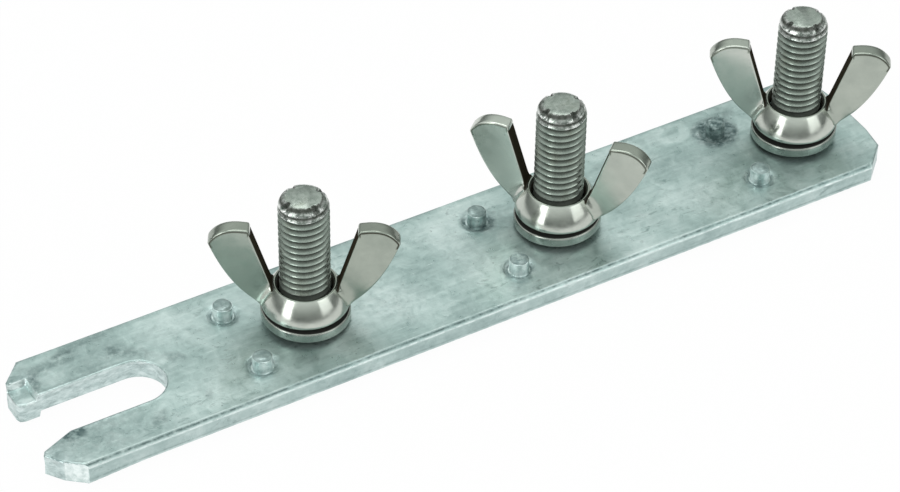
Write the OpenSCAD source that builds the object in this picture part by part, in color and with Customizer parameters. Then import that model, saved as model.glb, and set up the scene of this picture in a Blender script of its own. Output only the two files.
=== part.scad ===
// Earth terminal bar: a flat galvanised steel bar with an open fork at one end,
// three captive M12 studs, and a spring washer and a wing nut on each stud.
// X runs along the bar from the fork to the plain end, Z is up, and the origin
// lies in the underside at the middle of the bar. All sizes are millimetres.

/* [Bar] */
// Width of the flat bar
bar_w = 38; // [32:0.5:50]
// Thickness of the flat bar
bar_t = 5; // [4:0.5:8]
// Chamfer along the two long top edges
edge_break = 0.8; // [0.2:0.1:1.2]
// Chamfer along the two long edges of the underside
under_break = 0.3; // [0.1:0.1:1.2]
// Distance from the last stud to the plain end
end_margin = 16.7; // [13:0.2:30]
// Length along the bar that each corner cut takes at the plain end
end_cut_l = 6.8; // [2:0.2:10]
// Width across the bar that each corner cut takes at the plain end
end_cut_w = 5.7; // [2:0.2:8]
// How far the plain end bows outward between its corner cuts
end_bow = 0.9; // [0.2:0.1:2]
// Width of the square middle of the plain end
end_flat = 14; // [6:0.5:18]

/* [Fork] */
// Width of the open slot
slot_w = 13.4; // [10:0.2:15]
// Depth of the slot from the fork tip to its round end
slot_depth = 34.4; // [20:0.2:44]
// Offset of the slot from the bar's centreline
slot_shift = -0.5; // [-1.5:0.1:1.5]
// Length of the cut on each prong's outer corner
tip_out_l = 7.2; // [2:0.2:8]
// Width of the cut on each prong's outer corner
tip_out_w = 3.6; // [2:0.2:5]
// Length of the taper on the near prong's slot side
tip_in_l = 8.4; // [2:0.2:10]
// Width of the taper on the near prong's slot side
tip_in_w = 3.1; // [1:0.1:4]
// Slant of the near prong's end face
tip_slant = 2.8; // [0.2:0.1:3.2]
// Length of the cut on the far prong's outer corner
far_cut_l = 5.8; // [2:0.2:8]
// How much shorter the far prong is than the near one
far_short = 2; // [0:0.1:3]

/* [Pressed lug] */
// Length of the pressed-down lug at the far prong's tip
lug_len = 5; // [3:0.2:8]
// Width of the pressed-down lug, from the slot edge
lug_w = 6.4; // [4:0.2:8]
// How far the lug is pressed below the bar's faces
lug_drop = 1.6; // [0.6:0.1:2.4]

/* [Studs] */
// Diameter of each stud
stud_d = 12; // [8:0.5:14]
// Height of each stud above the bar
stud_h = 35.3; // [30:0.1:45]
// Distance from the fork tip to the first stud
stud_first = 70.3; // [62:0.5:90]
// Spacing of the studs
stud_pitch = 66.4; // [56:0.5:90]
// Diameter of the stud's end face
stud_tip_d = 9; // [5:0.1:9.4]
// Length of the rounded taper at the stud's end
stud_tip_l = 3.2; // [1:0.1:5]
// Pitch of the thread, cut here as plain rings
thread_pitch = 1.75; // [1:0.25:2]
// Depth of the thread's grooves
thread_depth = 0.9; // [0.4:0.1:1.1]
// Extra radius of the clinch head that sits flush in the underside
head_lip = 2; // [1:0.1:3]
// Thickness of the clinch head
head_t = 1.6; // [1:0.1:2.2]
// Width of each staking notch that keeps the nut captive
stake_w = 1.2; // [0.6:0.1:2]
// Length of each staking notch down the stud
stake_l = 2.4; // [1:0.1:4]
// Radial depth of each staking notch at the end face
stake_r = 1; // [0.4:0.1:1.6]

/* [Stop pips] */
// Diameter of each pip beside a stud
pip_d = 4.6; // [3:0.1:6]
// Height of each pip above the bar
pip_h = 3.4; // [1.5:0.1:4]
// Distance from a stud back to its pair of pips
pip_back = 16.1; // [14.5:0.2:20]
// Distance between the two pips of a pair
pip_spread = 19.2; // [14:0.2:22]
// Width of the shallow dish around each pip, beyond the pip
dish_lip = 1.7; // [1:0.1:2.6]
// Depth of the shallow dish
dish_t = 0.4; // [0.2:0.1:0.8]
// Depth of the punch mark under each pip
punch_depth = 2.6; // [1:0.1:3]

/* [Spring washers] */
// Width of the washer's square section ring, inside to outside
washer_ring = 4; // [2.5:0.1:5]
// Radial clearance of the washer on its stud
washer_clear = 0.2; // [0.1:0.05:0.5]
// Thickness of the washer's section
washer_t = 2.5; // [1.5:0.1:3.5]
// Rise of the open coil from one end to the other
washer_rise = 2.1; // [0.5:0.1:2.4]
// Angle of the cut through the ring
washer_cut = 8; // [4:1:20]

/* [Wing nuts] */
// Diameter of the nut's seating face
nut_base_d = 20; // [18:0.2:24]
// Diameter of the rim at the top of the hub
nut_rim_d = 14.4; // [14.2:0.1:16]
// Height of the hub
hub_h = 5.5; // [4.5:0.1:8]
// Height of the hub's straight foot
hub_foot = 0.8; // [0.4:0.1:1.4]
// Depth of the countersink at the top of the bore
sink_t = 1.1; // [0.5:0.1:2]
// Radial thread clearance between the nut and its stud
thread_clear = 0.05; // [0.02:0.01:0.09]
// Span over both wings
wing_span = 42.6; // [38:0.2:50]
// Height of the nut to the top of its wings
nut_h = 22; // [18:0.1:26]
// Drop from the wing's top to its outer corner
wing_drop = 3.7; // [3:0.1:7]
// Gap between the wings at their tops
wing_gap = 23.8; // [19:0.2:26]
// Thickness of each wing
wing_t = 3.6; // [2:0.1:4]
// Rounding of the wing's inner top corner
wing_corner = 1.3; // [0.3:0.1:1.8]
// Upward bow of the wing's top edge
wing_bow = 0.9; // [0:0.1:1.4]

/* [Hidden] */
// Turn of each wing nut as it was left, degrees
nut_turn = [-30, -49, -34.5];
// Where each washer's cut lies, degrees, and which way its coil rises
washer_turn = [62, 62, 68];
washer_hand = [-1, 1, 1];
// Turn of the staking notches
stake_turn = 5;
// Gap left where loose faces touch
touch = 0.02;
bar_len = stud_first + 2 * stud_pitch + end_margin;
tip_x = -bar_len / 2;
end_x = bar_len / 2;
half_w = bar_w / 2;
slot_r = slot_w / 2;
slot_far = slot_shift + slot_r;
slot_near = slot_shift - slot_r;
far_x = tip_x + far_short;
stud_r = stud_d / 2;
bore_r = stud_r + thread_clear;
rim_r = nut_rim_d / 2;
base_r = nut_base_d / 2;
washer_ir = stud_r + washer_clear;
washer_or = washer_ir + washer_ring;
nut_z = bar_t + washer_t + washer_rise + 2 * touch;
steps = 72;

function stud_x(i) = tip_x + stud_first + (i - 1) * stud_pitch;
// Point at t on the curve from a to c that leans toward b
function bend(a, b, c, t) = (1 - t) * (1 - t) * a + 2 * t * (1 - t) * b + t * t * c;
function curve(a, b, c, n) = [for (k = [0 : n]) bend(a, b, c, k / n)];

// Outline of the bar seen from above, slot left out
module bar_outline() {
    polygon([
        [end_x - end_cut_l, -half_w], [end_x - end_bow, -half_w + end_cut_w],
        [end_x, -end_flat / 2], [end_x, end_flat / 2],
        [end_x - end_bow, half_w - end_cut_w], [end_x - end_cut_l, half_w],
        [far_x + far_cut_l, half_w], [far_x + 0.4, half_w - tip_out_w - 2],
        [far_x, half_w - tip_out_w - 3.4], [far_x, slot_shift],
        [tip_x + tip_in_l, slot_shift], [tip_x + tip_in_l, slot_near],
        [tip_x + 0.7, slot_near - tip_in_w], [tip_x, slot_near - tip_in_w - 1.2],
        [tip_x + tip_slant, -half_w + tip_out_w], [tip_x + tip_out_l, -half_w]
    ]);
}

// The open slot with its round end
module slot_cut() {
    x_c = tip_x + slot_depth - slot_r;
    translate([x_c, slot_shift, -1]) cylinder(r = slot_r, h = bar_t + 2, $fn = 64);
    translate([tip_x - 5, slot_near, -1]) cube([x_c - tip_x + 5, slot_w, bar_t + 2]);
}

// The four long edges, broken at 45 degrees
module edge_cuts() {
    for (s = [-1, 1], e = [[0, under_break], [bar_t, edge_break]])
        translate([0, s * half_w, e[0]]) rotate([45, 0, 0])
            cube([bar_len + 10, e[1] * sqrt(2), e[1] * sqrt(2)], center = true);
}

// Places its children at the six pips
module at_pips() {
    for (i = [1 : 3], s = [-1, 1])
        translate([stud_x(i) - pip_back, s * pip_spread / 2, 0]) children();
}

module bar() {
    color([0.72, 0.76, 0.75]) {
        difference() {
            union() {
                linear_extrude(height = bar_t) bar_outline();
                translate([far_x, slot_far, -lug_drop]) cube([lug_len, lug_w, bar_t]);
            }
            slot_cut();
            edge_cuts();
            translate([far_x - 1, slot_far - 1, bar_t - lug_drop])
                cube([lug_len + 1, lug_w + 1, lug_drop + 1]);
            at_pips() {
                translate([0, 0, bar_t - dish_t])
                    cylinder(r1 = pip_d / 2 + dish_lip / 2, r2 = pip_d / 2 + dish_lip,
                             h = dish_t + 0.001, $fn = 48);
                translate([0, 0, -1]) cylinder(d = pip_d - 0.2, h = punch_depth + 1, $fn = 48);
            }
            for (i = [1 : 3]) translate([stud_x(i), 0, 0]) {
                translate([0, 0, -1]) cylinder(r = stud_r, h = bar_t + 2, $fn = 64);
                translate([0, 0, -1]) cylinder(r = stud_r + head_lip, h = head_t + 1, $fn = 64);
            }
        }
        at_pips() translate([0, 0, bar_t - dish_t - 0.2])
            cylinder(d = pip_d, h = pip_h + dish_t + 0.2, $fn = 48);
    }
}

// One groove of the thread, from its lower lip to its upper lip
function groove(z) =
    [[stud_r, z + 0.08 * thread_pitch], [stud_r - thread_depth, z + 0.42 * thread_pitch],
     [stud_r - thread_depth, z + 0.58 * thread_pitch], [stud_r, z + 0.92 * thread_pitch]];

module stud(i) {
    top = bar_t + stud_h;
    rings = floor((stud_h - stud_tip_l - 1) / thread_pitch);
    tip_r = stud_tip_d / 2;
    color([0.48, 0.52, 0.49]) translate([stud_x(i), 0, 0]) difference() {
        rotate_extrude($fn = 96) polygon(concat(
            [[0, 0], [stud_r + head_lip, 0], [stud_r + head_lip, head_t], [stud_r, head_t]],
            [for (k = [0 : rings - 1]) each groove(bar_t + 1 + k * thread_pitch)],
            curve([stud_r, top - stud_tip_l], [stud_r - 0.2, top - stud_tip_l * 0.4],
                  [tip_r, top - 0.2], 6),
            [[tip_r - 0.6, top], [0, top]]));
        for (k = [0 : 3]) rotate([0, 0, stake_turn + 90 * k])
            translate([tip_r - stake_r, -stake_w / 2, top - stake_l])
                cube([stud_d, stake_w, stake_l + 1]);
    }
}

// One open coil of rectangular wire, standing on its lower end
module spring_washer(i) {
    hand = washer_hand[i - 1];
    sweep = 360 - washer_cut;
    ring = [for (k = [0 : steps])
        let (a = hand * (washer_cut / 2 + sweep * k / steps), z = washer_rise * k / steps)
            each [[washer_ir * cos(a), washer_ir * sin(a), z],
                  [washer_or * cos(a), washer_or * sin(a), z],
                  [washer_or * cos(a), washer_or * sin(a), z + washer_t],
                  [washer_ir * cos(a), washer_ir * sin(a), z + washer_t]]];
    side = [for (k = [0 : steps - 1], j = [0 : 3])
        let (p = 4 * k + j, q = 4 * k + (j + 1) % 4) [p, q, q + 4, p + 4]];
    caps = [[3, 2, 1, 0], [for (j = [0 : 3]) 4 * steps + j]];
    faces = concat(side, caps);
    color([0.62, 0.63, 0.60])
        translate([stud_x(i), 0, bar_t + touch]) rotate([0, 0, washer_turn[i - 1]])
            polyhedron(points = ring,
                faces = hand > 0 ? [for (f = faces) [for (n = [len(f) - 1 : -1 : 0]) f[n]]]
                                 : faces);
}

// Outline of one wing, radius across and height up, from the nut's seat
module wing_outline() {
    out_r = wing_span / 2;
    in_r = wing_gap / 2;
    polygon(concat(
        [[bore_r + 0.6, hub_foot], [base_r - 0.6, hub_foot * 0.5]],
        curve([base_r - 0.3, hub_foot], [(base_r + out_r) / 2 + 1, hub_foot + 4.1],
              [out_r, nut_h - wing_drop], 10),
        curve([out_r - 0.2, nut_h - wing_drop + 0.6],
              [out_r - 2.7, nut_h + wing_bow], [in_r + wing_corner, nut_h], 10),
        curve([in_r + wing_corner * 0.6, nut_h - 0.08], [in_r, nut_h],
              [in_r, nut_h - wing_corner], 3),
        [[rim_r + 0.3, hub_h + 0.6], [bore_r + 0.6, hub_h - sink_t]]));
}

module wing_nut(i) {
    color([0.68, 0.68, 0.63])
        translate([stud_x(i), 0, nut_z]) rotate([0, 0, nut_turn[i - 1]]) difference() {
            union() {
                rotate_extrude($fn = 96) polygon(concat(
                    [[0, 0], [base_r - 0.4, 0], [base_r, 0.4]],
                    curve([base_r, hub_foot], [base_r - 0.9, hub_h * 0.62],
                          [rim_r + 0.2, hub_h - 0.2], 6),
                    [[rim_r - 0.1, hub_h], [0, hub_h]]));
                for (s = [0, 180]) rotate([0, 0, s]) translate([0, wing_t / 2, 0])
                    rotate([90, 0, 0]) linear_extrude(height = wing_t) wing_outline();
            }
            translate([0, 0, -1]) cylinder(r = bore_r, h = hub_h + 2, $fn = 64);
            translate([0, 0, hub_h - sink_t])
                cylinder(r1 = bore_r, r2 = rim_r - 0.4, h = sink_t, $fn = 64);
            translate([0, 0, hub_h - 0.001]) cylinder(r = rim_r - 0.4, h = nut_h, $fn = 64);
        }
}

bar();
stud(1);  // stud_1
stud(2);  // stud_2
stud(3);  // stud_3
spring_washer(1);  // spring_washer_1
spring_washer(2);  // spring_washer_2
spring_washer(3);  // spring_washer_3
wing_nut(1);  // wing_nut_1
wing_nut(2);  // wing_nut_2
wing_nut(3);  // wing_nut_3
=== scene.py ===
"""Earth terminal bar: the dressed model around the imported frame.

Each CAD node is replaced by one mesh of the same size with finer surfaces: the bar with its worked
edges and pips, studs with cut threads, rounded washers and wing nuts. Their shapes are worked out
in millimetres, and scaled to metres when a mesh is made.
"""
import math
from math import cos, pi, radians, sin

import bmesh
import bpy
import numpy as np
from mathutils import Matrix, Vector, geometry, noise

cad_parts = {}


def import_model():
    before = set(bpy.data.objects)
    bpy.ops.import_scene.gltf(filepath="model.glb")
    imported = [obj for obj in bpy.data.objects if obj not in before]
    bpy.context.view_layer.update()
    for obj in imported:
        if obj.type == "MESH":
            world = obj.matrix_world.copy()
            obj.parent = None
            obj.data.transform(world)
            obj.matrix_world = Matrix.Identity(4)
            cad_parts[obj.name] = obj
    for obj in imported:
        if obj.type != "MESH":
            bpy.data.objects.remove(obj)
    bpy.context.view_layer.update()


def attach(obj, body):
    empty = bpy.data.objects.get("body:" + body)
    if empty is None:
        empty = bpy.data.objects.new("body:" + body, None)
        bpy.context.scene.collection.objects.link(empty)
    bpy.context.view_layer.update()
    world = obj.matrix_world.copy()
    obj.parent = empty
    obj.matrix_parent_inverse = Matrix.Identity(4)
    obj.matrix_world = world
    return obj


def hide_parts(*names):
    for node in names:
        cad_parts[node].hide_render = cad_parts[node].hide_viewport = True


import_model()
MM = 0.001

# ---------------------------------------------------------------- sizes, mm
BAR_T, HALF_W = 5.0, 19.0
TIP_X, FAR_X, END_X = -109.9, -107.9, 109.9    # near prong, far prong, plain end
SLOT_MID, SLOT_R, SLOT_DEPTH = -0.5, 6.7, 34.4
SLOT_FAR, SLOT_NEAR = SLOT_MID + SLOT_R, SLOT_MID - SLOT_R
ARC_X = TIP_X + SLOT_DEPTH - SLOT_R            # centre of the slot's round end
EDGE, UNDER = 0.8, 0.3                         # broken long edges, above and below
LUG_X, LUG_Y = FAR_X + 5.0, SLOT_FAR + 6.4     # inner corner of the pressed lug
LUG_DROP = 1.6
BEAD = 0.7                                     # zinc bead under the near prong's tip

STUD_X = (-39.6, 26.8, 93.2)
STUD_R, STUD_TOP, HEAD_R, HEAD_T = 6.0, 40.3, 8.0, 1.6
PITCH, TAPER = 1.75, 3.2
CREST_R, ROOT_R = STUD_R - 0.2, STUD_R - 1.1
THREAD_FOOT = BAR_T - 1.2
STAKES = [radians(5 + 90 * k) for k in range(4)]
STAKE_ARC_R = 4.4                              # radius on which a notch's width is measured
OIL_SHADE_LOW, OIL_SHADE_HIGH = 14.2, 16.7                 # oily dirt and painted shade of the nut's rim, in a band just above the nut

PIP_BACK, PIP_Y, PIP_R, PIP_H = 16.1, 9.6, 2.3, 3.4
PIPS = [(x - PIP_BACK, side * PIP_Y) for x in STUD_X for side in (-1, 1)]
DISH, DISH_T = 1.7, 0.4                        # shallow dish round a pip
PUNCH_R, PUNCH_T = 2.2, 2.6                    # punch mark under a pip
WALL = 0.01                                    # tolerance on the circle of an upright wall

NUT_Z, WING_T, WING_ROUND = 9.64, 3.6, 0.42
NUT_TURN = (-30, -49, -34.5)
WASHER_TURN, WASHER_HAND, WASHER_CUT = (62, 62, 68), (-1, 1, 1), 8
WASHER_IR, WASHER_OR, WASHER_T, WASHER_RISE = 6.2, 10.2, 2.5, 2.1
WIRE_ROUND, TOUCH = 0.38, 0.02

# Facets round a circle or along a coil
PIP_SEGS, HOLE_SEGS, STUD_SEGS, HUB_SEGS, COIL_STEPS, SLOT_STEPS = 32, 64, 96, 128, 132, 40


# ---------------------------------------------------------------- plane geometry
def smooth(a, b, x):
    """Smooth step from 0 at a to 1 at b; a may be the larger."""
    t = np.clip((x - a) / (b - a), 0, 1)
    return t * t * (3 - 2 * t)


def ridge(x, at, width):
    """1 at a place, falling off to both sides."""
    return np.exp(-((x - at) / width) ** 2)


def ridges(x, lines):
    """Sum of ridges, each given by its place, width and level."""
    return sum(level * ridge(x, at, width) for at, width, level in lines)


def fnoise(x, y, z, size, seed=0.0):
    """Noise with features of a size in millimetres."""
    return noise.noise(Vector((x / size + seed, y / size - seed, z / size + 0.37 * seed)))


def nz(points, size, seed=0.0):
    return np.array([fnoise(x, y, 0.0, size, seed) for x, y in points])


def distance(p, x, y):
    return np.hypot(p[:, 0] - x, p[:, 1] - y)


def circle(x, y, r, n):
    return np.array([(x + r * cos(2 * pi * k / n), y + r * sin(2 * pi * k / n)) for k in range(n)])


def ring(x, r, z, n):
    """Points of a level circle round a stud's axis."""
    return [(x + r * cos(2 * pi * k / n), r * sin(2 * pi * k / n), z) for k in range(n)]


def grid(x_span, y_span, step, stagger=0.0):
    """Points over a rectangle, with every second row shifted by stagger steps."""
    x, y = np.meshgrid(np.arange(*x_span, step), np.arange(*y_span, step))
    x = x + stagger * step * (np.arange(len(x)) % 2)[:, None]
    return np.stack([x.ravel(), y.ravel()], 1)


def curve(a, b, c, n):
    """Quadratic curve from a to c in n steps, pulled towards b."""
    a, b, c = (np.array(p, float) for p in (a, b, c))
    return [tuple((1 - t) ** 2 * a + 2 * t * (1 - t) * b + t * t * c)
            for t in (k / n for k in range(n + 1))]


def resample(points, step):
    """Closed outline with points no further apart than step(x, y)."""
    out = []
    for p, q in zip(points, points[1:] + points[:1]):
        n = max(1, math.ceil(math.dist(p, q) / step((p[0] + q[0]) / 2, (p[1] + q[1]) / 2)))
        out += [(p[0] + (q[0] - p[0]) * j / n, p[1] + (q[1] - p[1]) * j / n) for j in range(n)]
    return np.array(out)


def inside(points, loop):
    """Which points lie within a closed outline."""
    x, y = points[:, 0], points[:, 1]
    hit = np.zeros(len(points), bool)
    for a, b in zip(loop, np.roll(loop, -1, axis=0)):
        if a[1] == b[1]:
            continue
        cross = (a[1] > y) != (b[1] > y)
        hit ^= cross & (x < (b[0] - a[0]) * (y - a[1]) / (b[1] - a[1]) + a[0])
    return hit


def edge_gap(points, loop):
    """Distance of each point from a closed outline."""
    best = np.full(len(points), 1e9)
    for a, b in zip(loop, np.roll(loop, -1, axis=0)):
        ab = b - a
        t = np.clip(((points - a) @ ab) / max(ab @ ab, 1e-12), 0, 1)
        best = np.minimum(best, np.hypot(*(points - a - t[:, None] * ab).T))
    return best


def normals(loop):
    """Inward unit normals at the corners of a closed anticlockwise outline."""
    d = np.roll(loop, -1, axis=0) - loop
    d /= np.linalg.norm(d, axis=1)[:, None]
    n = np.stack([-d[:, 1], d[:, 0]], axis=1)
    m = n + np.roll(n, 1, axis=0)
    return m / np.maximum(np.linalg.norm(m, axis=1), 1e-9)[:, None]


def fill(loop, holes, offsets, extra):
    """Triangles over an outline: its edge, rows inside the edge, and extra points."""
    row_share, row_margin, hole_margin, weld = 0.93, 0.12, 0.1, 1e-5
    edges, base = [], 0
    for line in [loop] + holes:
        edges += [(base + k, base + (k + 1) % len(line)) for k in range(len(line))]
        base += len(line)
    inner = []
    norm = normals(loop)
    for off in offsets:
        p = loop + norm * off
        p = p[inside(p, loop)]
        inner.append(p[edge_gap(p, loop) > row_share * off])
    extra = extra[inside(extra, loop)]
    inner.append(extra[edge_gap(extra, loop) > offsets[-1] + row_margin])
    inner = np.concatenate(inner)
    rounds = [(hole.mean(0), np.linalg.norm(hole[0] - hole.mean(0))) for hole in holes]
    for mid, r in rounds:
        inner = inner[np.linalg.norm(inner - mid, axis=1) > r + hole_margin]
    points = np.concatenate([loop] + holes + [inner])
    v, _, f, *_ = geometry.delaunay_2d_cdt([Vector(p) for p in points], edges, [], 0, weld)
    v = np.array([tuple(p) for p in v])
    f = np.array([t for t in f if len(t) == 3])
    middle = v[f].mean(1)
    keep = inside(middle, loop)
    for mid, r in rounds:
        keep &= np.linalg.norm(middle - mid, axis=1) > r * 0.999
    return v, f[keep]


# ---------------------------------------------------------------- meshes and pieces
class Shell:
    """Gathers faces in millimetres and welds them into one closed skin.

    wear says where the surface is rough, tint where it is paler (+) or darker (-)."""

    WELD, SLIVER = 0.002, 0.0005

    def __init__(self):
        self.v, self.f, self.wear, self.tint = [], [], [], []

    def add(self, verts, faces, wear=None, tint=None):
        base = len(self.v)
        self.v += [tuple(map(float, p)) for p in verts]
        self.f += [tuple(int(i) + base for i in f) for f in faces]
        self.wear += [0.0] * len(verts) if wear is None else [float(w) for w in wear]
        self.tint += [0.0] * len(verts) if tint is None else [float(w) for w in tint]

    def strip(self, rings, closed=True, wear=None, tint=None):
        """Faces between neighbouring rings, each ring closed or open."""
        n = len(rings[0])
        verts = [p for line in rings for p in line]
        last = n if closed else n - 1
        faces = [(a * n + k, a * n + (k + 1) % n, (a + 1) * n + (k + 1) % n, (a + 1) * n + k)
                 for a in range(len(rings) - 1) for k in range(last)]
        self.add(verts, faces, wear, tint)

    def cap(self, line, tint=0.0):
        self.add(line, [tuple(range(len(line)))], tint=[tint] * len(line))

    def mesh(self, name, angle=32):
        """The welded mesh in metres, with edges sharper than angle degrees kept sharp."""
        bm = bmesh.new()
        layers = [bm.verts.layers.float.new(n) for n in ("wear", "tint")]
        vs = []
        for p, *levels in zip(self.v, self.wear, self.tint):
            b = bm.verts.new(p)
            for layer, level in zip(layers, levels):
                b[layer] = level
            vs.append(b)
        for f in self.f:
            if len(set(f)) >= 3:
                try:
                    bm.faces.new([vs[i] for i in f])
                except ValueError:   # the same face again
                    pass
        bmesh.ops.remove_doubles(bm, verts=bm.verts, dist=self.WELD)
        bmesh.ops.dissolve_degenerate(bm, edges=bm.edges, dist=self.SLIVER)
        bmesh.ops.recalc_face_normals(bm, faces=bm.faces)
        bmesh.ops.scale(bm, vec=(MM, MM, MM), verts=bm.verts)
        me = bpy.data.meshes.new(name)
        bm.to_mesh(me)
        bm.free()
        me.shade_smooth()
        me.set_sharp_from_angle(angle=radians(angle))
        return me


def merge(name, meshes):
    """One mesh out of several, which are removed."""
    bm = bmesh.new()
    for me in meshes:
        bm.from_mesh(me)
    out = bpy.data.meshes.new(name)
    bm.to_mesh(out)
    bm.free()
    for me in meshes:
        bpy.data.meshes.remove(me)
    return out


def add_object(name, data):
    ob = bpy.data.objects.new(name, data)
    bpy.context.scene.collection.objects.link(ob)
    return ob


def piece(me, body, mat, node):
    """A piece of the dressed model that rides on a body and stands for a CAD node."""
    me.materials.append(mat)
    ob = add_object(me.name, me)
    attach(ob, body)
    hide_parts(node)


# ---------------------------------------------------------------- materials
class Nodes:
    """Short calls for the nodes of a material or world."""

    def __init__(self, owner):
        owner.use_nodes = True
        self.t = owner.node_tree
        self.t.nodes.clear()

    def new(self, kind):
        return self.t.nodes.new(kind)

    def link(self, value, socket):
        if isinstance(value, bpy.types.NodeSocket):
            self.t.links.new(value, socket)
        else:
            socket.default_value = value

    def ramp(self, fac, *stops):
        n = self.new("ShaderNodeValToRGB")
        e = n.color_ramp.elements
        while len(e) < len(stops):
            e.new(0.5)
        for k, (pos, col) in enumerate(stops):
            e[k].position = pos
            e[k].color = (col, col, col, 1) if isinstance(col, (int, float)) else (*col, 1)
        self.link(fac, n.inputs[0])
        return n.outputs[0]

    def math(self, op, a, b=0.0, c=0.0, clamp=False):
        n = self.new("ShaderNodeMath")
        n.operation = op
        n.use_clamp = clamp
        for v, s in zip((a, b, c), n.inputs):
            self.link(v, s)
        return n.outputs[0]

    def times(self, first, *others, clamp=False):
        for other in others:
            first = self.math("MULTIPLY", first, other, clamp=clamp)
        return first

    def mix(self, fac, a, b):
        """Colour between a and b."""
        n = self.new("ShaderNodeMix")
        n.data_type = "RGBA"
        self.link(fac, n.inputs["Factor"])
        for v, s in ((a, n.inputs[6]), (b, n.inputs[7])):
            self.link(v if isinstance(v, bpy.types.NodeSocket) else (*v, 1), s)
        return n.outputs[2]

    def blend(self, fac, first, second, out):
        """Shader between two shader nodes, into the output node."""
        n = self.new("ShaderNodeMixShader")
        for v, s in zip((fac, first.outputs[0], second.outputs[0]), n.inputs):
            self.link(v, s)
        self.link(n.outputs[0], out.inputs[0])


class Material(Nodes):
    """A material with a Principled shader, in object coordinates."""

    def __init__(self, name):
        self.mat = bpy.data.materials.new(name)
        super().__init__(self.mat)
        self.out = self.new("ShaderNodeOutputMaterial")
        self.bsdf = self.new("ShaderNodeBsdfPrincipled")
        self.link(self.bsdf.outputs[0], self.out.inputs[0])
        self.coord = self.new("ShaderNodeTexCoord")

    def place(self, scale=(1, 1, 1), turn=(0, 0, 0)):
        """Object coordinates in millimetres, stretched by scale and turned in degrees."""
        n = self.new("ShaderNodeMapping")
        n.inputs["Scale"].default_value = [s / MM for s in scale]
        n.inputs["Rotation"].default_value = [radians(a) for a in turn]
        self.link(self.coord.outputs["Object"], n.inputs["Vector"])
        return n.outputs[0]

    def noise(self, size, detail=3, rough=0.5, at=None, warp=0.0):
        """Noise with features of a size in millimetres."""
        n = self.new("ShaderNodeTexNoise")
        self.link(at or self.place(), n.inputs["Vector"])
        n.inputs["Scale"].default_value = 1.0 / size
        n.inputs["Detail"].default_value = detail
        n.inputs["Roughness"].default_value = rough
        n.inputs["Distortion"].default_value = warp
        return n.outputs["Fac"]

    def spots(self, noise_out, low, high):
        """1 where the noise is above high, 0 where it is below low."""
        return self.ramp(noise_out, (low, 0.0), (high, 1.0))

    def bump(self, height, depth, strength, after=None):
        """Bump of depth millimetres."""
        n = self.new("ShaderNodeBump")
        n.inputs["Strength"].default_value = strength
        n.inputs["Distance"].default_value = depth * MM
        self.link(height, n.inputs["Height"])
        if after is not None:
            self.link(after, n.inputs["Normal"])
        return n.outputs[0]

    def attribute(self, name):
        n = self.new("ShaderNodeAttribute")
        n.attribute_name = name
        return n.outputs["Fac"]

    def tinted(self, col, pale, dark, broken=None):
        """The colour made paler or darker where the tint attribute says, and how dull it is."""
        tint = self.attribute("tint")
        if broken is not None:
            tint = self.times(tint, broken)
        light = self.times(tint, 1.0, clamp=True)
        soot = self.times(tint, -1.0, clamp=True)
        col = self.mix(soot, self.mix(light, col, pale), dark)
        return col, self.math("MULTIPLY_ADD", light, 0.3, soot)

    def metal(self, color, rough, normal, metallic, dull):
        """Sets the shader; where it is dull it is less metallic and less glossy."""
        self.link(color, self.bsdf.inputs["Base Color"])
        self.link(rough, self.bsdf.inputs["Roughness"])
        self.link(metallic, self.bsdf.inputs["Metallic"])
        bright = self.math("SUBTRACT", 1.0, dull, clamp=True)
        self.link(self.times(bright, metallic), self.bsdf.inputs["Metallic"])
        self.link(self.math("MULTIPLY_ADD", bright, 0.6, -0.1, clamp=True),
                  self.bsdf.inputs["Specular IOR Level"])
        self.link(normal, self.bsdf.inputs["Normal"])
        return self.mat


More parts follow.
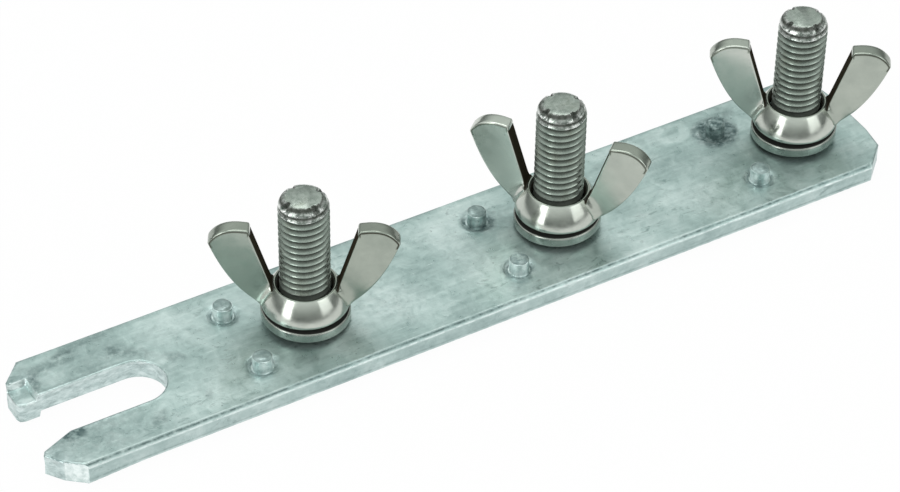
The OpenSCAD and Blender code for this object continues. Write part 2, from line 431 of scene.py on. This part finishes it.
def galvanised():
    m = Material("galvanised zinc")
    wear = m.attribute("wear")
    cloud = m.noise(16, 4, 0.6)
    patch = m.noise(3.4, 4, 0.65, warp=0.8)
    fine = m.noise(0.7, 4, 0.6)
    streak = m.noise(1.3, 3, 0.6, at=m.place((0.07, 1.0, 1.0), (0, 0, 7)))
    tone = m.math("ADD", m.times(cloud, 0.42), m.times(patch, 0.38))
    tone = m.math("ADD", tone, m.times(streak, 0.20))
    col = m.ramp(tone, (0.36, (0.30, 0.41, 0.395)), (0.5, (0.45, 0.575, 0.555)),
                 (0.64, (0.61, 0.725, 0.705)))
    # dark smudges, small dark specks and pale flecks of zinc ash
    smudge = m.spots(m.noise(2.6, 4, 0.7, at=m.place((0.5, 1.2, 1), (0, 0, 12)), warp=1.2),
                     0.57, 0.68)
    where = m.spots(m.noise(17, 2, 0.5), 0.46, 0.58)
    col = m.mix(m.times(smudge, where, 0.62), col, (0.17, 0.25, 0.24))
    speck = m.spots(m.noise(0.9, 2, 0.5), 0.69, 0.76)
    where = m.spots(m.noise(8, 2, 0.5), 0.48, 0.62)
    col = m.mix(m.times(speck, where, 0.55), col, (0.14, 0.20, 0.19))
    ash = m.spots(m.noise(1.2, 3, 0.6, at=m.place(turn=(0, 0, 50))), 0.66, 0.75)
    col = m.mix(m.times(ash, 0.30), col, (0.80, 0.90, 0.88))
    # long thin scratches in two directions
    for turn, low in ((24, 0.735), (-17, 0.75)):
        line = m.noise(0.42, 2, 0.5, at=m.place((0.045, 1, 1), (0, 0, turn)))
        col = m.mix(m.times(m.spots(line, low, low + 0.04), 0.55), col, (0.82, 0.92, 0.90))
    # worked places: pips, pressed lug and cut edges
    grit = m.noise(1.2, 3, 0.62, at=m.place((0.45, 0.6, 1.1)), warp=0.4)
    mottle = m.ramp(grit, (0.34, (0.28, 0.37, 0.365)), (0.5, (0.48, 0.60, 0.59)),
                    (0.68, (0.74, 0.85, 0.845)))
    col = m.mix(m.times(wear, 0.85, clamp=True), col, mottle)
    broken = m.ramp(m.noise(1.7, 4, 0.65), (0.36, 0.35), (0.58, 1.0))
    col, dull = m.tinted(col, (0.90, 0.98, 0.97), (0.10, 0.15, 0.15), broken)
    rough = m.ramp(m.math("ADD", m.times(patch, 0.6), m.times(fine, 0.4)),
                   (0.35, 0.26), (0.65, 0.44))
    nrm = m.bump(patch, 0.12, 0.6)
    nrm = m.bump(fine, 0.03, 0.6, nrm)
    nrm = m.bump(m.times(grit, wear), 0.30, 0.7, nrm)
    return m.metal(col, rough, nrm, 0.85, dull)


def thread_steel():
    m = Material("stud steel")
    wear = m.attribute("wear")
    col = m.ramp(m.noise(2.4, 4, 0.6), (0.35, (0.34, 0.40, 0.355)), (0.65, (0.47, 0.54, 0.48)))
    dirt = m.spots(m.noise(5, 3, 0.6), 0.55, 0.72)
    col = m.mix(m.times(dirt, 0.3), col, (0.24, 0.235, 0.16))
    chip = m.ramp(m.noise(0.9, 3, 0.6), (0.42, (0.26, 0.30, 0.27)), (0.56, (0.86, 0.89, 0.86)))
    col = m.mix(wear, col, chip)
    col, dull = m.tinted(col, (0.85, 0.87, 0.83), (0.035, 0.037, 0.03))
    rough = m.ramp(m.noise(0.8, 3, 0.6), (0.35, 0.19), (0.65, 0.31))
    nrm = m.bump(m.noise(0.8, 2, 0.5), 0.010, 0.4)
    nrm = m.bump(m.times(m.noise(0.8, 2, 0.5), wear), 0.25, 0.6, nrm)
    return m.metal(col, rough, nrm, 1.0, dull)


def washer_steel():
    m = Material("washer steel")
    col = m.ramp(m.noise(3, 4, 0.6), (0.35, (0.34, 0.37, 0.34)), (0.65, (0.45, 0.48, 0.44)))
    col, dull = m.tinted(col, (0.85, 0.88, 0.84), (0.02, 0.02, 0.018))
    rough = m.ramp(m.noise(1.2, 3, 0.6), (0.35, 0.20), (0.65, 0.28))
    grind = m.noise(0.25, 2, 0.5, at=m.place((0.15, 0.15, 4)))
    return m.metal(col, rough, m.bump(grind, 0.002, 0.4), 1.0, dull)


def nut_steel():
    m = Material("polished nut steel")
    col = m.ramp(m.noise(6, 4, 0.6), (0.35, (0.32, 0.362, 0.312)), (0.65, (0.385, 0.428, 0.37)))
    col, dull = m.tinted(col, (0.90, 0.92, 0.87), (0.035, 0.03, 0.02))
    rough = m.ramp(m.noise(2.2, 4, 0.6), (0.35, 0.14), (0.7, 0.26))
    nrm = m.bump(m.noise(0.6, 3, 0.6), 0.008, 0.5)
    scratch = m.noise(0.35, 3, 0.6, at=m.place((0.2, 0.2, 2.2), (20, 0, 0)))
    nrm = m.bump(scratch, 0.006, 0.5, nrm)
    return m.metal(col, rough, nrm, 1.0, dull)


ZINC, THREAD, WASHER, NUT = galvanised(), thread_steel(), washer_steel(), nut_steel()


# ---------------------------------------------------------------- bar: outline and heights
def bar_outline():
    arc = [(ARC_X + SLOT_R * cos(a), SLOT_MID + SLOT_R * sin(a))
           for a in (radians(90 - 180 * k / SLOT_STEPS) for k in range(SLOT_STEPS + 1))]
    plain_end = [(END_X - 6.8, -HALF_W), (END_X - 0.9, -13.3), (END_X, -7),
                 (END_X, 7), (END_X - 0.9, 13.3), (END_X - 6.8, HALF_W)]
    far_prong = [(FAR_X + 5.8, HALF_W), (FAR_X + 0.4, 13.4), (FAR_X, 12.0),
                 (FAR_X, SLOT_FAR + 1.5), (FAR_X + 0.4, SLOT_FAR + 0.45), (FAR_X + 1.5, SLOT_FAR)]
    near_prong = [(TIP_X + 8.4, SLOT_NEAR), (TIP_X + 0.7, -10.3), (TIP_X, -11.5),
                  (TIP_X + 2.8, -15.4)]
    return [(TIP_X + 7.2, -HALF_W)] + plain_end + far_prong + arc + near_prong


def bar_points(radii):
    """Inner points of a bar face: a grid, finer round the pips and the lug."""
    grid_step, lug_step_mm, wall_step = 1.15, 0.28, 0.25
    pip_margin, lug_margin, wall_gap, wall_half = 0.4, 1.2, 0.14, 0.07
    coarse = grid((TIP_X, END_X), (-HALF_W, HALF_W), grid_step, stagger=0.5)
    for x, y in PIPS:
        coarse = coarse[distance(coarse, x, y) > radii[-1] + pip_margin]
    x, y = coarse.T
    lug = (x < LUG_X + lug_margin) & (y > SLOT_FAR) & (y < LUG_Y + lug_margin)
    circles = [circle(px, py, r, PIP_SEGS) for px, py in PIPS for r in radii]
    fine = grid((FAR_X, LUG_X + lug_margin), (SLOT_FAR, LUG_Y + lug_margin), lug_step_mm)
    fine = fine[(np.abs(fine[:, 0] - LUG_X) > wall_gap) | (fine[:, 1] > LUG_Y + wall_gap)]
    fine = fine[(np.abs(fine[:, 1] - LUG_Y) > wall_gap) | (fine[:, 0] > LUG_X + wall_gap)]
    walls = []
    for o in (-wall_half, wall_half):
        walls.append(np.array([(LUG_X + o, y) for y in np.arange(SLOT_FAR, LUG_Y + o, wall_step)]))
        walls.append(np.array([(x, LUG_Y + o) for x in np.arange(FAR_X, LUG_X + o, wall_step)]))
    return np.concatenate([coarse[~lug], fine] + circles + walls)


def lug_step(p):
    """Drop of the pressed lug seen from above, 0 to 1, with a slope at its two walls."""
    return (smooth(LUG_X + 0.1, LUG_X - 0.8, p[:, 0]) * smooth(LUG_Y + 0.1, LUG_Y - 0.8, p[:, 1])
            * (p[:, 1] > 0))


def lug_below(p):
    """The same seen from below, with upright walls."""
    return ((p[:, 0] < LUG_X) * (p[:, 1] < LUG_Y) * (p[:, 1] > 0)).astype(float)


def chamfer(p, depth):
    """Depth of the 45 degree break along the two long edges."""
    return np.clip(depth - (HALF_W - np.abs(p[:, 1])), 0, depth)


def rolled(gap, depth, width):
    """Depth of an edge that the shears rolled over."""
    return depth * np.clip(1 - gap / width, 0, 1) ** 2


def top_z(p, gap):
    crown, lump_level = 0.45, 0.16
    z = BAR_T - chamfer(p, EDGE)
    z -= (np.abs(p[:, 1]) < HALF_W - 0.9) * rolled(gap, 0.26, 0.34)
    z += 0.05 * nz(p, 11, 3.1) + 0.02 * nz(p, 3.5, 8.2) - 0.03
    for x, y in PIPS:
        d = distance(p, x, y)
        on_pip = d < PIP_R - WALL
        dish = -DISH_T * smooth(PIP_R + DISH, PIP_R + DISH / 2, d)
        rise = np.where(on_pip, PIP_H + DISH_T, 0)
        rise = rise - crown * smooth(PIP_R - 0.6, PIP_R - 0.02, d) * on_pip
        lump = lump_level * nz(p, 1.3, 5 + x) * smooth(PIP_R + DISH, PIP_R, d)
        z = np.where(d < PIP_R + DISH + 0.3, z + dish + rise + lump, z)
    return z - LUG_DROP * lug_step(p)


def bottom_z(p, gap):
    z = chamfer(p, UNDER) + rolled(gap, 0.15, 0.3) * (np.abs(p[:, 1]) < HALF_W - 0.4)
    for x, y in PIPS:
        z = np.where(distance(p, x, y) < PUNCH_R - WALL, PUNCH_T, z)
    bead = smooth(TIP_X + 22, TIP_X + 5, p[:, 0]) * (p[:, 1] < SLOT_NEAR)
    return z - LUG_DROP * lug_below(p) - BEAD * bead


# ---------------------------------------------------------------- bar: wear and tint
# Stained pips: radius of the stain, its level, and how much darker the wall and the top are
STAINED = {3: (4.4, 0.75, 0.6, 0.6), 5: (5.6, 1.4, 2.2, 1.3)}
CLEAN = (PIP_R + DISH, 0.3, 0, 0.6)
# Smudges on the top face: centre, half length and half width, turn, level
SMUDGES = ((-101.5, -8.6, 3.2, 1.8, 10, 0.75), (-79.5, 9.0, 6.0, 2.2, -35, 0.55),
           (-96.0, 14.0, 7.0, 2.2, 12, 0.5), (-103.0, 9.5, 2.6, 2.6, 0, 0.55),
           (-71.0, 2.5, 3.0, 1.5, -50, 0.5), (-88.0, 16.5, 9.0, 1.0, 4, 0.45),
           (-70.0, -12.0, 2.4, 1.2, 60, 0.45), (-83.0, -13.5, 3.0, 1.2, 40, 0.4),
           (8.0, -14.2, 3.5, 1.6, 20, 0.4), (50.0, 13.0, 6.0, 1.4, 10, 0.4),
           (81.0, 13.5, 5.0, 2.6, 30, 0.5), (68.0, 15.0, 3.0, 1.2, 0, 0.45))
# Painted highlights and shade in lines, by place, width and level: inwards from the near edge, and
# down the side (0 top, 1 bottom)
NEAR_EDGE_LIGHT_SHADE = ((0.9, 0.12, 0.75), (0.5, 0.22, -0.9), (0, 0.12, 0.9))
SIDE_LIGHT_SHADE = ((0.03, 0.06, 1.0), (0.82, 0.045, -0.35), (1, 0.07, 0.7))


def bar_wear(p, gap):
    level = 0.9
    w = 0.8 * smooth(1.2, 0.1, gap) * smooth(END_X * -0.5, TIP_X * 0.95, p[:, 0])
    w = w * (np.abs(p[:, 1]) < HALF_W - 1.3)
    for k, (x, y) in enumerate(PIPS):
        d = distance(p, x, y)
        reach = STAINED.get(k, CLEAN)[0]
        w = np.maximum(w, level * smooth(reach + 0.5, reach - 0.9, d))
        w = np.where(d < PIP_R - 0.05, 0.35, w)
    w = np.maximum(w, level * smooth(TIP_X + 7, TIP_X + 2, p[:, 0]))
    return np.maximum(w, level * smooth(3.5, 0.5, distance(p, LUG_X, LUG_Y)))


def bar_tint(p, gap):
    x, y = p[:, 0], p[:, 1]
    e = HALF_W - np.abs(y)
    # painted highlights along the near long edge, with a painted dark line between them
    near = (y < 0) * (x > TIP_X + 6) * (x < END_X - 6)
    t = near * ridges(e, NEAR_EDGE_LIGHT_SHADE)
    t -= 0.3 * smooth(TIP_X + 48, TIP_X + 8, x)
    t += 0.45 * nz(p, 15, 21.0)
    # painted shade along the break of the far long edge
    t -= (y > 0) * 0.55 * ridge(e, 0.7, 0.5)
    # painted light along the slot's far edge, painted shade along its near edge
    slot = (e > 3) * (x < ARC_X + SLOT_R + 1) * ridge(gap, 0, 0.3)
    t += slot * np.where(y > SLOT_MID - 3, 0.75 * smooth(ARC_X + 2, ARC_X - 5, x), -0.5)
    ends = (e > 1.2) * (np.abs(x) > END_X - 9) * (gap < 0.5) * (np.abs(y) > 9)
    t -= 0.4 * ends * (x > 0)
    for sx, sy, half_l, half_w, turn, level in SMUDGES:
        c, n = cos(radians(turn)), sin(radians(turn))
        u, v = (x - sx) * c + (y - sy) * n, (y - sy) * c - (x - sx) * n
        ragged = 0.45 * nz(p, 2.1, sx)
        t -= level * smooth(1.25, 0.5, np.hypot(u / half_l, v / half_w) + ragged)
    for k, (px, py) in enumerate(PIPS):
        d = distance(p, px, py)
        reach, level, wall_dark, top_dark = STAINED.get(k, CLEAN)
        stain = smooth(reach + 0.6, reach - 0.6, d) * (0.75 + 0.8 * nz(p, 1.7, px))
        t -= level * stain * (d > PIP_R + WALL)
        # painted shade in a ring round each pip's foot
        t -= 0.7 * ridge(d, PIP_R + 0.45, 0.35) * (d > PIP_R + 0.03)
        chips = 1.25 + 2.4 * nz(p, 1.25, 3 * py + px)
        t += (np.abs(d - PIP_R) < 0.05) * (chips - wall_dark)
        t -= (d < PIP_R - 0.05) * top_dark
    # painted highlight on the pressed lug's walls, and painted light on its floor
    low = lug_step(p) * (y > SLOT_FAR - 0.1)
    t += 1.2 * (low > 0.02) * (low < 0.9) + 0.55 * (low >= 0.9) * smooth(FAR_X, FAR_X + 2.5, x)
    return np.clip(t, -1, 1)


# ---------------------------------------------------------------- bar: mesh
def bar_face(shell, loop, height, hole_r, pip_radii, rows, tint=None):
    """Adds the top or the bottom face; gives its edge heights and the rims of its holes."""
    holes = [circle(x, 0, hole_r, HOLE_SEGS) for x in STUD_X]
    v, f = fill(loop, holes, rows, bar_points(pip_radii))
    gap = edge_gap(v, loop)
    tints = tint(v, gap) if tint else None
    shell.add(np.column_stack([v, height(v, gap)]), f, bar_wear(v, gap), tints)
    rim_gap = np.full(HOLE_SEGS, 9.0)              # well away from the outline
    rims = [[(*p, z) for p, z in zip(h, height(h, rim_gap))] for h in holes]
    return height(loop, np.zeros(len(loop))), rims


def bar_side(shell, loop, top, bottom):
    """Adds the wall all round, a little hollow, and rough where it was cut."""
    norm = normals(loop)
    cut = np.abs(loop[:, 1]) < HALF_W - 0.1
    tip = cut & (loop[:, 0] < ARC_X + 8)
    lit_facet = (loop[:, 1] < SLOT_NEAR - 8) & (loop[:, 0] < TIP_X + 7.1) & (loop[:, 0] > TIP_X + 3)
    hollow = np.where(tip, 0.22, np.where(cut, 0.12, 0.03))
    rings, wear, tint = [], [], []
    for t in (0, 0.04, 0.1, 0.17, 0.26, 0.38, 0.5, 0.62, 0.73, 0.81, 0.87, 0.93, 1):
        z = top * (1 - t) + bottom * t
        uneven = np.array([fnoise(x, y, h, 1.6, 7.7) for (x, y), h in zip(loop, z)])
        push = hollow * sin(pi * t) * (0.5 + 0.5 * uneven)
        rings.append([(*(p + n * d), h) for p, n, d, h in zip(loop, norm, push, z)])
        wear += list(np.where(tip & ~lit_facet, 0.9, 0.12))
        # painted highlight along the top of the cut ends; on the long walls painted highlights at
        # top and bottom and a painted dark line near the bottom
        level = np.where(tip, 0.35 * ridge(t, 0, 0.16) + 0.16, ridges(t, SIDE_LIGHT_SHADE) - 0.12)
        # painted light on the near prong's corner facet
        tint += list(np.where(lit_facet, 1.0, level) * (loop[:, 0] < END_X - 1))
    shell.strip(rings, wear=wear, tint=tint)


def build_bar():
    loop = resample(bar_outline(), lambda x, y: 0.35 if x < ARC_X + 8 and abs(y) < 18.9 else 0.7)
    shell = Shell()
    top, rims = bar_face(shell, loop, top_z, STUD_R,
                         (0.7, 1.4, 1.9, 2.15, 2.28, 2.32, 2.75, 3.15, 3.6, 4.0),
                         (0.12, 0.28, 0.5, 0.72, 0.8, 0.95, 1.2), bar_tint)
    bottom, feet = bar_face(shell, loop, bottom_z, HEAD_R, (0.8, 1.6, 2.0, 2.18, 2.22, 2.6),
                            (0.12, 0.3, 0.8))
    bar_side(shell, loop, top, bottom)
    for rim, foot in zip(rims, feet):
        shell.strip([rim, [(x, y, HEAD_T) for x, y, _ in rim],
                     [(x, y, HEAD_T) for x, y, _ in foot], foot])
    piece(shell.mesh("bar_skin"), "bar", ZINC, "bar")


# ---------------------------------------------------------------- studs
# One turn of the thread: place along the pitch, and lift from root (0) to crest (1)
THREAD_KNOTS = ((0.0, 0.0), (0.09, 0.02), (0.15, 0.16), (0.30, 0.58), (0.42, 0.94), (0.47, 1.0),
                (0.53, 1.0), (0.58, 0.94), (0.70, 0.58), (0.85, 0.16), (0.91, 0.02))
END_TINT = -0.22


def stud_end_r(z):
    """Largest radius at a height, once the stud's rounded end begins."""
    t = (z - (STUD_TOP - TAPER)) / TAPER
    if t <= 0:
        return math.inf
    return CREST_R - 1.35 * t ** 2.3 - 5.0 * max(0.0, t - 0.8) ** 1.4


def thread_point(i, a, z, lift):
    """Radius, wear and tint of a stud at an angle and a height."""
    r = ROOT_R + (CREST_R - ROOT_R) * lift
    end_r = stud_end_r(z)
    if end_r < math.inf:
        r = min(r + 0.45 * (CREST_R - ROOT_R) * (1 - lift), end_r)
    # oily dirt and painted shade of the nut's rim darken a band just above the nut
    oil_and_shade = smooth(OIL_SHADE_HIGH + 0.5, OIL_SHADE_HIGH - 0.9, z) * smooth(OIL_SHADE_LOW - 1, OIL_SHADE_LOW, z)
    # painted shade: each thread's root is darker than its crest
    wear, tint = 0.0, min(-0.9 * (1 - lift), -0.85 * float(oil_and_shade))
    for stake in STAKES:
        off = abs((a - stake + pi) % (2 * pi) - pi) * STAKE_ARC_R
        if z > STUD_TOP - 1.4 and off < 0.48:       # the notch, with painted shade in it
            r = min(r, 3.5 + 0.5 * (STUD_TOP - z))
            wear, tint = 0.2, -0.85
        elif z > STUD_TOP - 3.4 and off < 1.9:      # metal pushed up beside it
            if r < 5.6:
                r += 0.10 * max(0.0, fnoise(a * 9, z, i, 1.0, 2.2))
            wear = 0.9
    if z > STUD_TOP - 3.2:
        wear = max(wear, 0.6)
    if z > STUD_TOP - 0.05:
        wear, tint = 0.15, END_TINT
    return r, wear, tint


def build_stud(i):
    x0 = STUD_X[i - 1]
    turns = math.ceil((STUD_TOP - THREAD_FOOT) / PITCH) + 1
    rings, wear, tint = [], [], []
    for turn in range(-1, turns):
        for at, lift in THREAD_KNOTS:
            line = []
            for k in range(STUD_SEGS + 1):
                a = 2 * pi * k / STUD_SEGS
                z = THREAD_FOOT + (turn + at) * PITCH + PITCH * k / STUD_SEGS
                z = min(max(z, THREAD_FOOT), STUD_TOP)
                r, worn, tone = thread_point(i, a, z, lift)
                line.append((x0 + r * cos(a), r * sin(a), z))
                wear.append(worn)
                tint.append(tone)
            rings.append(line)
    shell = Shell()
    shell.strip(rings, closed=False, wear=wear, tint=tint)
    shell.cap(rings[-1][:-1], END_TINT)
    neck_r = STUD_R - 0.05
    foot = [ring(x0, r, z, STUD_SEGS) for r, z in
            ((HEAD_R, 0), (HEAD_R, HEAD_T), (neck_r, HEAD_T), (neck_r, THREAD_FOOT))]
    shell.cap(foot[0])
    shell.strip(foot + [rings[0][:-1]])
    piece(shell.mesh(f"stud_thread_{i}", 38), "bar", THREAD, f"stud_{i}")


# ---------------------------------------------------------------- spring washers
def build_washer(i):
    c, w, t = WIRE_ROUND, WASHER_OR - WASHER_IR, WASHER_T
    corners = ((w - c, c, -90), (w - c, t - c, 0), (c, t - c, 90), (c, c, 180))
    section = [(cx + c * cos(radians(start + 22.5 * k)), cz + c * sin(radians(start + 22.5 * k)))
               for cx, cz, start in corners for k in range(5)]
    rings = []
    for k in range(COIL_STEPS + 1):
        u = k / COIL_STEPS
        a = WASHER_HAND[i - 1] * radians(WASHER_CUT / 2 + (360 - WASHER_CUT) * u)
        a += radians(WASHER_TURN[i - 1])
        z = BAR_T + TOUCH + WASHER_RISE * u
        rings.append([(STUD_X[i - 1] + (WASHER_IR + r) * cos(a), (WASHER_IR + r) * sin(a), z + h)
                      for r, h in section])
    shell = Shell()
    # painted shade on the washer's top face, in the gap under the nut's hub
    shaded_top = [-0.95 * (h > t - 0.1 and r < w - 0.25) for r, h in section]
    shell.strip(rings, tint=shaded_top * len(rings))
    shell.cap(rings[0])
    shell.cap(rings[-1])
    piece(shell.mesh(f"washer_coil_{i}", 40), f"washer_{i}", WASHER,
          f"spring_washer_{i}")


# ---------------------------------------------------------------- wing nuts
# The hub's closed section and one wing's outline: distance from the axis, height over the foot
HUB = [(9.5, 0.0), (9.8, 0.08), (9.97, 0.25), (10.0, 0.5),
       *curve((10.0, 0.8), (9.25, 3.4), (7.3, 5.9), 12),
       (7.2, 6.0), (7.05, 6.1), (6.9, 6.13), (6.78, 6.08), (6.7, 5.95),
       (6.4, 5.3), (6.08, 4.6), (6.05, 4.3), (6.05, 0.4), (6.3, 0.0)]
WING_IN_LOW, WING_IN_TOP = (7.5, 6.1), (11.9, 20.7)
WING = [(6.65, 0.8), (9.4, 0.4), *curve((9.7, 0.8), (16.65, 4.9), (21.3, 18.3), 14),
        *curve((21.1, 18.9), (18.6, 22.9), (13.2, 22.0), 12),
        *curve((12.68, 21.92), (11.9, 22.0), WING_IN_TOP, 4), WING_IN_LOW, (6.65, 4.4)]
# Painted light: how much paler the right and the left wing of each nut are
WING_PAINTED_LIGHT = ((0.0, 0.14), (0.14, 0.55), (0.08, 0.42))


def hub_r(z):
    """Radius of the solid hub, where a wing's flare begins."""
    return np.interp(z, [0, 0.8, 2.5, 4.0, 5.9, 6.9], [10, 10, 9.4, 8.6, 7.3, 6.6])


def hub_tint(r, z):
    if z > 4 and r < 6.5:
        return -0.95                                # painted shade in the countersink
    if z > 5.92 and r < 7.1:
        return -0.1                                 # rim
    return -0.9 if z < 0.1 else 0.32                # foot with painted shade over the washer, and the polished cone


def wing_tint(p, gap, pale):
    (x0, z0), (x1, z1) = WING_IN_LOW, WING_IN_TOP
    off = np.abs((p[:, 0] - x0) * (z1 - z0) - (p[:, 1] - z0) * (x1 - x0))
    inner = off / math.hypot(z1 - z0, x1 - x0) < 0.25
    inner &= (p[:, 1] > 5) & (p[:, 1] < 20.9)
    # painted shade on each wing's inner edge, which faces the stud
    t = np.where(inner, -1.0, pale)
    top = (p[:, 1] > 17) & (p[:, 0] > 12.2)
    # painted highlight along the wing's top rim, with a painted dark line just inside it
    rim = t - 0.3 * (gap < 0.03) + 0.4 * ridge(gap, 0.1, 0.05) - 1.1 * ridge(gap, 0.36, 0.18)
    return np.where(top, rim, t)


def wing_half(p):
    """Half thickness of a wing, which flares where it meets the hub."""
    flare = 1.1 * np.exp(-np.clip(p[:, 0] - hub_r(p[:, 1]), 0, None) / 0.9)
    return WING_T / 2 + flare * smooth(8.6, 4.6, p[:, 1])


def wing_face(p, gap):
    """Height of a wing's face over its middle plane, with a rounded rim."""
    t = np.clip(1 - gap / WING_ROUND, 0, 1)
    return wing_half(p) - WING_ROUND * (1 - np.sqrt(1 - t * t))


def build_nut(i):
    x0, turn = STUD_X[i - 1], radians(NUT_TURN[i - 1])
    section = HUB + HUB[:1]
    hub = Shell()
    hub.strip([ring(x0, r, NUT_Z + z, HUB_SEGS) for r, z in section],
              tint=np.repeat([hub_tint(*q) for q in section], HUB_SEGS))
    parts = [hub.mesh("hub", 40)]
    loop = resample(WING, lambda x, y: 0.4)
    v, f = fill(loop, [], (0.06, 0.16, 0.28, 0.42, 0.7), grid((6.5, 21.5), (0, 23), 0.55))
    gap, no_gap = edge_gap(v, loop), np.zeros(len(loop))
    half, rim = wing_face(v, gap), wing_face(loop, no_gap)
    for side, pale in zip((0, pi), WING_PAINTED_LIGHT[i - 1]):
        c, n = cos(turn + side), sin(turn + side)

        def at(p, y):
            return [(x0 + c * a[0] - n * b, n * a[0] + c * b, NUT_Z + a[1]) for a, b in zip(p, y)]

        wing = Shell()
        for sign in (1, -1):
            wing.add(at(v, sign * half), f, tint=wing_tint(v, gap, pale))
        levels = (1, 0.5, 0, -0.5, -1)
        wing.strip([at(loop, rim * k) for k in levels],
                   tint=np.tile(wing_tint(loop, no_gap, pale), len(levels)))
        parts.append(wing.mesh("wing", 40))
    piece(merge(f"wing_nut_skin_{i}", parts), f"nut_{i}", NUT, f"wing_nut_{i}")


# ---------------------------------------------------------------- camera, floor and light
LENS, SENSOR = 137.86, 36
CAMERA_AT = (-0.306545, -0.510536, 0.526716)
CAMERA_RIGHT = (0.864248, -0.502915, 0.012333)
CAMERA_UP = (0.321938, 0.571749, 0.754625)
CAMERA_BACK = (-0.386564, -0.648213, 0.65604)
FLOOR_R, FLOOR_Z, FLOOR_GREY, FLOOR_GLOW = 1.6, -0.00165, 0.9, 0.97
# Studio seen by reflections: share of the way up from straight down, and colour
ROOM = ((0.0, (0.6, 0.62, 0.61)), (0.49, (0.5, 0.52, 0.51)), (0.54, (0.12, 0.13, 0.125)),
        (0.64, (0.30, 0.32, 0.31)), (0.78, (0.86, 0.90, 0.88)), (1.0, (0.70, 0.74, 0.72)))
# Lamps: name, place, width and height, watts, and the point they face
LAMPS = (("key", (-1.26, -0.29, 0.56), (0.5, 1.0), 5.2, (0, 0, 0.5)),
         ("side", (0.63, -1.13, 0.60), (0.8, 0.9), 2.6, (0, 0, 0.5)),
         ("top", (0.2, 0.45, 1.5), (1.2, 0.7), 5, (0, 0, 0.01)))


def camera():
    cam = bpy.data.cameras.new("camera")
    cam.sensor_fit = "HORIZONTAL"
    cam.sensor_width = SENSOR
    cam.lens = LENS
    cam.clip_start, cam.clip_end = 0.02, 20
    ob = add_object("camera", cam)
    columns = (*CAMERA_RIGHT, 0), (*CAMERA_UP, 0), (*CAMERA_BACK, 0), (*CAMERA_AT, 1)
    ob.matrix_world = Matrix(columns).transposed()
    bpy.context.scene.camera = ob


def world():
    """White to the camera, a plain grey studio to the reflections."""
    owner = bpy.data.worlds.new("studio")
    bpy.context.scene.world = owner
    w = Nodes(owner)
    split = w.new("ShaderNodeSeparateXYZ")
    w.link(w.new("ShaderNodeTexCoord").outputs["Generated"], split.inputs[0])
    upward = w.math("MULTIPLY_ADD", split.outputs["Z"], 0.5, 0.5)
    room, white = w.new("ShaderNodeBackground"), w.new("ShaderNodeBackground")
    w.link(w.ramp(upward, *ROOM), room.inputs[0])
    w.link((1, 1, 1, 1), white.inputs[0])
    seen = w.new("ShaderNodeLightPath").outputs["Is Camera Ray"]
    w.blend(seen, room, white, w.new("ShaderNodeOutputWorld"))


def ground():
    """White to the camera and in reflections, with a trace of the object's shadow."""
    m = Material("floor")
    m.link((FLOOR_GREY, FLOOR_GREY, FLOOR_GREY, 1), m.bsdf.inputs["Base Color"])
    m.link(0.9, m.bsdf.inputs["Roughness"])
    m.link(0.0, m.bsdf.inputs["Metallic"])
    glow = m.new("ShaderNodeEmission")
    m.link((1, 1, 1, 1), glow.inputs[0])
    path = m.new("ShaderNodeLightPath").outputs
    seen = m.math("ADD", path["Is Glossy Ray"], path["Is Transmission Ray"])
    seen = m.math("ADD", path["Is Camera Ray"], seen, clamp=True)
    m.blend(m.times(seen, FLOOR_GLOW), m.bsdf, glow, m.out)
    bm = bmesh.new()
    bmesh.ops.create_circle(bm, cap_ends=True, segments=64, radius=FLOOR_R)
    me = bpy.data.meshes.new("floor")
    bm.to_mesh(me)
    bm.free()
    me.materials.append(m.mat)
    floor = add_object("floor", me)
    floor.location.z = FLOOR_Z


def lamp(name, at, size, watts, target):
    data = bpy.data.lights.new(name, "AREA")
    data.shape = "RECTANGLE"
    data.size, data.size_y = size
    data.energy = watts
    ob = add_object(name, data)
    ob.location = at
    ob.rotation_euler = (Vector(target) - Vector(at)).to_track_quat("-Z", "Y").to_euler()


bpy.context.scene.view_settings.view_transform = "Standard"
camera()
world()
ground()
for setting in LAMPS:
    lamp(*setting)
build_bar()
for number in (1, 2, 3):
    build_stud(number)
    build_washer(number)
    build_nut(number)
